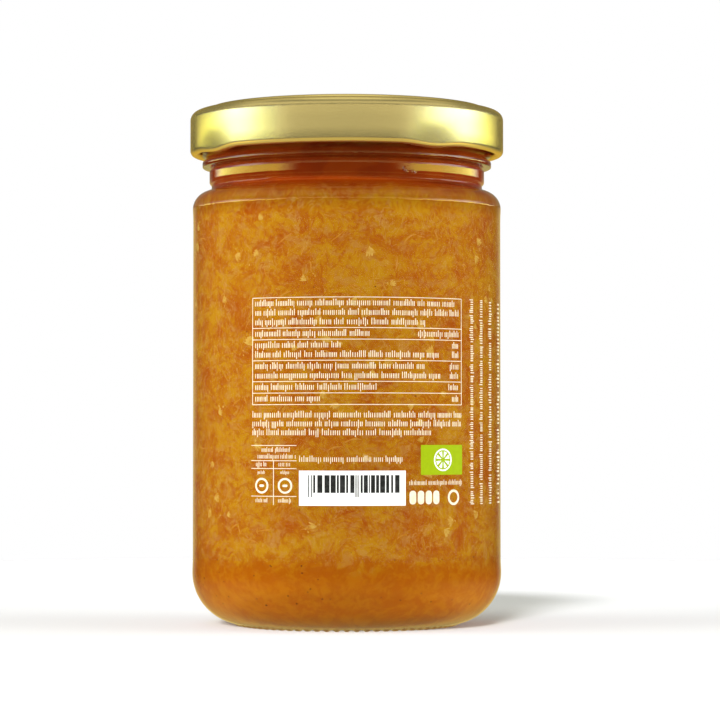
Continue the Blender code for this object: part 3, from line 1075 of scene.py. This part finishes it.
def marmalade_finish():
    """Cloudy jelly: golden and reddish blotches, tan haze, fine pulp fibres and low dark veins."""
    # Painted shade darkens the jelly towards the shoulder and under the lid, and painted light
    # brightens the heel.
    f = new_finish("cloudy_marmalade")
    spot = f.places()
    height = f.add("ShaderNodeSeparateXYZ", {}, {"Vector": spot})["Z"]

    def stretched(place, across, upward, offset):
        """The point for a texture that is drawn out along or across the jar."""
        scaled = f.vector("MULTIPLY", {"Vector": place, "Vector_001": (across, across, upward)})
        return f.vector("ADD", {"Vector": scaled, "Vector_001": (offset, -offset, 0.5 * offset)})

    def moved(place, way, distance):
        """The point moved along a way by up to half this distance, in millimetres."""
        sockets = {"Vector": way, "Vector_001": (distance, distance, distance), "Vector_002": place}
        return f.vector("MULTIPLY_ADD", sockets)

    swirl = f.add("ShaderNodeTexNoise", {}, {"Vector": spot, "Scale": 0.13, "Detail": 2.0})["Color"]
    swirl = f.vector("SUBTRACT", {"Vector": swirl, "Vector_001": (0.5, 0.5, 0.5)})
    curl = f.add("ShaderNodeTexNoise", {}, {"Vector": spot, "Scale": 0.6, "Detail": 1.0})["Color"]
    curl = f.vector("SUBTRACT", {"Vector": curl, "Vector_001": (0.5, 0.5, 0.5)})
    bent = moved(spot, swirl, 6.0)
    bent = moved(bent, curl, 1.6)
    blotch = f.noise(stretched(bent, 1.0, 1.5, 0.0), 8.0, 2.0)
    cloud = f.noise(stretched(bent, 1.0, 1.3, 31.0), 2.6, 4.0, 0.65)
    grain = f.noise(stretched(bent, 1.0, 0.8, 57.0), 0.75, 3.0, 0.7)
    tone = 0.34 * blotch + 0.32 * cloud + 0.34 * grain
    ground = f.add(
        "ShaderNodeValToRGB",
        {"stops": ((0.38, RED_ORANGE), (0.45, ORANGE), (0.50, GOLDEN_ORANGE), (0.58, GOLDEN))},
        {"Fac": tone},
    )["Color"]
    red = f.step(f.noise(stretched(bent, 1.0, 1.8, 90.0), 7.0, 3.0, 0.6), 0.53, 0.68)
    body = f.blend(red * 0.45, ground, RED_ORANGE)
    haze = f.step(f.noise(stretched(bent, 1.0, 1.2, 140.0), 2.0, 3.0, 0.65), 0.50, 0.64)
    body = f.blend(haze * 0.48, body, TAN)
    patch = f.step(f.noise(stretched(spot, 1.0, 1.0, 200.0), 6.0, 2.0), 0.42, 0.58)
    upright = thin_lines(f, stretched(bent, 1.7, 0.6, 230.0), 2.6, 0.030)
    body = f.blend(upright * patch * 0.45, body, PALE_FIBRE)
    shade = thin_lines(f, stretched(bent, 1.3, 1.0, 300.0), 2.4, 0.035)
    body = f.blend(shade * (1 - patch) * 0.35, body, RED_ORANGE)
    vein = thin_lines(f, stretched(bent, 0.8, 2.2, 370.0), 11.0, 0.020, 3.0)
    body = f.blend(vein * 0.45, body, RED_ORANGE)
    calm = f.blend(f.step(cloud, 0.40, 0.62), CLEAR_JELLY, CLEAR_GOLD)
    # Painted light: lighter copies of the clear jelly, faded in towards the bottom of the heel.
    lit_heel = f.blend(f.step(cloud, 0.40, 0.62), with_painted_heel_light(CLEAR_JELLY), with_painted_heel_light(CLEAR_GOLD))
    calm = f.blend(1 - f.step(height, 3.0, 15.0), calm, lit_heel)
    low = 1 - f.step(height + 9 * (cloud - 0.5), 12.0, 17.0)
    body = f.blend(low * 0.9, body, calm)
    # Painted shade: the jelly gets darker towards the shoulder.
    body = f.blend(0.3 * f.step(height, 85.5, 89.5), body, PAINTED_SHADE_JELLY)
    # The neck's jelly: deep red jelly with painted shade under the lid.
    neck = f.blend(f.step(blotch, 0.4, 0.6), NECK_JELLY_AND_SHADE, NECK_AMBER_AND_SHADE)
    # Painted shade: darker still at the foot of the neck.
    neck = f.blend(0.5 * (1 - f.step(height, 91.8, 93.2)), neck, PAINTED_SHADE_JELLY)
    body = f.blend(f.step(height + 3 * (cloud - 0.5), 88.8, 91.6), body, neck)
    shader = f.principled(
        {
            "Base Color": body,
            "Roughness": 0.45,
            "Specular IOR Level": 0.05,
            "Subsurface Weight": 0.2,
            "Subsurface Radius": (1.0, 0.4, 0.1),
            "Subsurface Scale": 0.8 * MM,
        }
    )
    return f.surface(shader)


def bit_finish(name, light, dark):
    """A bit of pulp, peel or seed in the jelly: one blotchy colour."""
    f = new_finish(name)
    patch = f.step(f.noise(f.places(), 0.9, 2.0), 0.35, 0.65)
    shader = f.principled(
        {
            "Base Color": f.blend(patch, dark, light),
            "Roughness": 0.5,
            "Specular IOR Level": 0.1,
        }
    )
    return f.surface(shader)


def lacquer_finish():
    """Gold lacquer on tinplate: glossy, with a faint orange-peel ripple and fine uneven sheen."""
    f = new_finish("gold_lacquer")
    spot = f.places()
    tone = f.noise(spot, 7.0, 3.0)
    ripple = f.noise(spot, 1.6, 2.0)
    hue = f.blend(tone, (0.80, 0.66, 0.28), (0.86, 0.71, 0.31))
    shader = f.principled(
        {
            "Base Color": hue,
            "Metallic": 0.93,
            "Specular Tint": colour((1.0, 0.82, 0.32)),
            "Roughness": 0.23 + 0.06 * tone,
            "Normal": f.bump(ripple, 0.03, 0.05 * MM),
        }
    )
    return f.surface(shader)


def film_finish():
    """Clear film: it only adds a thin gloss and the faintest haze."""
    f = new_finish("clear_film")
    haze = f.noise(f.places(), 20.0, 2.0)
    shader = f.principled(
        {
            "Base Color": f.blend(haze, (0.30, 0.20, 0.08), (0.36, 0.24, 0.10)),
            "Roughness": 0.25,
            "Specular IOR Level": 0.0,
            "Alpha": 0.012,
        }
    )
    return f.surface(shader)


def ink_finish(name, tone, worn_tone):
    """Printed ink with a slightly uneven cover."""
    f = new_finish(name)
    cover = f.noise(f.places(), 0.8, 3.0)
    shader = f.principled(
        {
            "Base Color": f.blend(f.step(cover, 0.35, 0.75), tone, worn_tone),
            "Roughness": 0.45 + 0.1 * cover,
            "Specular IOR Level": 0.1,
        }
    )
    return f.surface(shader)


def floor_finish():
    """A matt, nearly white table with broad faint clouds."""
    f = new_finish("pale_table")
    tone = f.blend(f.noise(f.places(), 60.0, 2.0), (0.62, 0.625, 0.662), (0.64, 0.645, 0.682))
    return f.surface(f.add("ShaderNodeBsdfDiffuse", {}, {"Color": tone})["BSDF"])


# Pieces


def make_glass():
    mesh = turned("jar_wall", glass_outline(), FACETS_ON_STUD * STUDS, mould_glass)
    flint = glass_finish()
    piece("jar_wall", mesh, flint, "jar_glass")
    piece("mould_dots", mould_dots(), flint)


def make_filling():
    piece(
        "marmalade_filling",
        turned("marmalade_filling", filling_outline(), FILLING_FACETS),
        marmalade_finish(),
        "marmalade",
    )
    pulp = bit_finish("pale_pulp", (0.47, 0.28, 0.052), (0.41, 0.20, 0.021))
    peel = bit_finish("hazy_peel", (0.41, 0.18, 0.025), (0.38, 0.145, 0.008))
    seed = bit_finish("dark_speck", (0.10, 0.02, 0.002), (0.18, 0.035, 0.003))
    piece("pulp_flakes", pale_bits(), pulp)
    piece("peel_strands", peel_strands(), peel)
    piece("dark_specks", dark_specks(), seed)


def make_lid():
    mesh = turned("lid_shell", lid_outline(), LID_FACETS, press_lugs)
    piece("lid_shell", mesh, lacquer_finish(), "lid")


def printed(name, sheet, ink):
    """The sheet's ink as a piece. It is too thin to shade the marmalade behind it."""
    piece(name, closed_mesh(name, sheet.mesh), ink).visible_shadow = False


def make_label():
    film = bmesh.new()
    half = 180 - FILM_SEAM / 2
    inner = BODY_RADIUS - FILM_THICKNESS
    wrapped_box(film, -half, half, FILM_BOTTOM, FILM_TOP, inner, BODY_RADIUS, step=2.0)
    piece("film_wrap", closed_mesh("film_wrap", film), film_finish(), "label_film")
    white_ink = ink_finish("white_ink", (0.72, 0.64, 0.50), (0.62, 0.53, 0.36))
    black_ink = ink_finish("black_ink", (0.012, 0.012, 0.012), (0.03, 0.03, 0.03))
    green_ink = ink_finish("green_ink", (0.25, 0.345, 0.0015), (0.235, 0.32, 0.002))
    panel_ink = ink_finish("panel_ink", (0.80, 0.80, 0.80), (0.76, 0.76, 0.76))
    draw = random.Random(5)
    white = Sheet()
    print_table(white, draw)
    print_notes(white, draw)
    print_columns(white, draw)
    print_corner(white, draw)
    printed("white_print", white, white_ink)
    panel = Sheet()
    panel.plate(PANEL_LEFT, PANEL_RIGHT, PANEL_LOW, PANEL_HIGH)
    printed("white_panel", panel, panel_ink)
    bars = Sheet(level=1)
    print_bars(bars, draw)
    printed("panel_bars", bars, black_ink)
    green = Sheet()
    green.plate(GREEN_LEFT, GREEN_RIGHT, GREEN_LOW, GREEN_HIGH)
    printed("green_field", green, green_ink)
    mark = Sheet(level=1)
    print_slice(mark)
    printed("slice_mark", mark, panel_ink)


# Room, lights and camera


FLOOR_RADIUS = 330 * MM

# The studio. Heights are sines of the elevation, and turns are degrees from the front.
# Two numbers are where a change starts and ends. Three are a window's sides and its softness.
ROOM_LIGHT = 0.03
ROOM_HUE = (1.0, 0.95, 0.75)

FRONT_LIGHT = 1.42
BACK_LIGHT = 0.12
BAND_FOOT = (0.098, 0.108)
FRONT_HEAD = (0.13, 0.26)
FRONT_END = (102, 134)

BOX_LIGHT = 4.8
BOX_HUE = (0.64, 0.78, 1.22)
BOX_HUE_SIDES = (58, 142, 14)
BOX_HEAD = (0.13, 0.28)
LEFT_BOX = (-91, -83, 31)
RIGHT_BOX = (81, 96, 40)
RIGHT_BOX_SHARE = 1.05

STRIP_LIGHT = 7.3
STRIP_HUE = (0.88, 1.0, 0.27)
STRIP_HEIGHTS = (0.084, 0.103, 0.004)
STRIP_SIDES = (64, 122, 26)

LOW_FRONT_LIGHT = 0.5
LOW_BOX_LIGHT = 0.6
LOW_FOOT = (-0.7, -0.5)
LOW_HEAD = (-0.42, -0.04)

RIM_LIGHT = 0.6
RIM_HUE = (1.0, 0.80, 0.28)
RIM_START = (146, 170)
RIM_HEAD = (0.3, 0.5)
RIM_LOW_FOOT = (-0.3, -0.2)
RIM_LOW_HEAD = (0.07, 0.10)
RIM_LOW_SHARE = 0.75

GROUND_LIGHT = 0.6
GROUND_HUE = (1.0, 0.85, 0.36)
GROUND_HEAD = (-0.85, -0.25)

UPPER_LIGHT = 0.12
UPPER_FOOT = (0.14, 0.3)
CEILING_LIGHT = 0.45
CEILING_FRONT = (0.50, 0.74, 0.12)
CEILING_TOP = (0.93, 0.97)
CEILING_BACK = (0.65, 0.8)
CEILING_BACK_SHARE = 0.7
FACING_END = (85, 120)

# Each lamp: its name, the way it shines, its strength, its softness in degrees and its hue.
LAMPS = (
    ("key", (0.25, 0.97, -1.1), 3.2, 10, (1.0, 1.0, 1.0)),
    ("left_fill", (1.0, 0.2, -0.24), 3.45, 50, (0.96, 1.0, 0.90)),
    ("right_fill", (-1.0, 0.2, -0.24), 3.2, 50, (0.97, 1.0, 0.92)),
)


def make_floor():
    mesh = bmesh.new()
    bmesh.ops.create_circle(mesh, cap_ends=True, segments=96, radius=FLOOR_RADIUS)
    data = bpy.data.meshes.new("table")
    mesh.to_mesh(data)
    mesh.free()
    floor = bpy.data.objects.new("table", data)
    data.materials.append(floor_finish())
    bpy.context.scene.collection.objects.link(floor)
    floor.visible_glossy = False


def make_world():
    """The studio round the jar, seen only in reflections. The camera itself sees plain white.

    A low band of light in front is mirrored by the lid, with a bright box at each side of it. A strip
    under the boxes is mirrored by the neck. The rest is dim, so that the jar's body stays clear.
    """
    f = Finish(bpy.data.worlds.new("studio"))
    bpy.context.scene.world = f.owner
    way = f.add("ShaderNodeTexCoord")["Generated"]
    parts = f.add("ShaderNodeSeparateXYZ", {}, {"Vector": way})
    around = f.math("ARCTAN2", parts["X"], 0 - parts["Y"]) * (180 / math.pi)
    aside = abs(around)
    upward = parts["Z"]

    above = f.step(upward, *BAND_FOOT)
    ahead = FRONT_LIGHT - (FRONT_LIGHT - BACK_LIGHT) * f.step(aside, *FRONT_END)
    front = above * (1 - f.step(upward, *FRONT_HEAD)) * ahead
    boxes = f.window(around, *LEFT_BOX) + RIGHT_BOX_SHARE * f.window(around, *RIGHT_BOX)
    box_band = above * (1 - f.step(upward, *BOX_HEAD))
    strip = f.window(upward, *STRIP_HEIGHTS) * f.window(aside, *STRIP_SIDES)
    low = f.step(upward, *LOW_FOOT) * (1 - f.step(upward, *LOW_HEAD))
    rim_low = f.step(upward, *RIM_LOW_FOOT) * (1 - f.step(upward, *RIM_LOW_HEAD))
    rim_high = 1 - f.step(upward, *RIM_HEAD)
    rim = f.step(aside, *RIM_START) * ((1 - RIM_LOW_SHARE) * rim_high + RIM_LOW_SHARE * rim_low)
    ground = 1 - f.step(upward, *GROUND_HEAD)
    facing = 1 - f.step(aside, *FACING_END)
    ceiling = f.window(upward, *CEILING_FRONT) * facing + f.step(upward, *CEILING_TOP)
    ceiling = ceiling + CEILING_BACK_SHARE * f.step(upward, *CEILING_BACK) * (1 - facing)

    light = ROOM_LIGHT + GROUND_LIGHT * ground + RIM_LIGHT * rim + front
    light = light + BOX_LIGHT * box_band * boxes * boxes + STRIP_LIGHT * strip
    light = light + f.step(upward, *UPPER_FOOT) * (UPPER_LIGHT + CEILING_LIGHT * ceiling)
    light = light + low * (LOW_FRONT_LIGHT + LOW_BOX_LIGHT * boxes)

    hue = f.blend(ground, ROOM_HUE, GROUND_HUE)
    hue = f.blend(f.math("MINIMUM", rim + low, 1.0), hue, RIM_HUE)
    hue = f.blend(box_band * f.window(aside, *BOX_HUE_SIDES), hue, BOX_HUE)
    hue = f.blend(strip, hue, STRIP_HUE)

    path = f.add("ShaderNodeLightPath")
    seen = f.math("MAXIMUM", path["Is Camera Ray"], path["Is Transmission Ray"])
    studio = f.add("ShaderNodeBackground", {}, {"Strength": light, "Color": hue})["Background"]
    white = {"Strength": 1.0, "Color": colour((1.0, 1.0, 1.0))}
    plain = f.add("ShaderNodeBackground", {}, white)["Background"]
    f.add("ShaderNodeOutputWorld", {}, {"Surface": f.mixed(seen, studio, plain)})


def make_lamps():
    """Soft distant lamps that light matt surfaces and aren't mirrored in glass or metal.

    The key comes over the camera's left shoulder, and the others light the jar's sides.
    """
    for name, towards, strength, softness, hue in LAMPS:
        lamp = bpy.data.lights.new(name, "SUN")
        lamp.energy = strength
        lamp.angle = math.radians(softness)
        lamp.color = hue
        sun = bpy.data.objects.new(name, lamp)
        bpy.context.scene.collection.objects.link(sun)
        sun.rotation_euler = Vector(towards).to_track_quat("-Z", "Y").to_euler()
        sun.visible_glossy = False
        sun.visible_transmission = False


def make_camera():
    """The camera stands in front and turns to place the jar where the photograph has it."""
    data = bpy.data.cameras.new("camera")
    data.lens = LENS
    data.sensor_width = SENSOR
    camera = bpy.data.objects.new("camera", data)
    bpy.context.scene.collection.objects.link(camera)
    focal = PICTURE * LENS / SENSOR
    pan = math.atan((PICTURE / 2 - AXIS_PIXEL) / focal)
    tilt = math.atan((HORIZON_PIXEL - PICTURE / 2) / focal)
    camera.location = (0.0, -CAMERA_DISTANCE, CAMERA_HEIGHT)
    camera.rotation_euler = (math.radians(90) + tilt, 0.0, -pan)
    bpy.context.scene.camera = camera


make_camera()
make_glass()
make_filling()
make_lid()
make_label()
make_floor()
make_world()
make_lamps()
bpy.context.scene.view_settings.view_transform = "Standard"
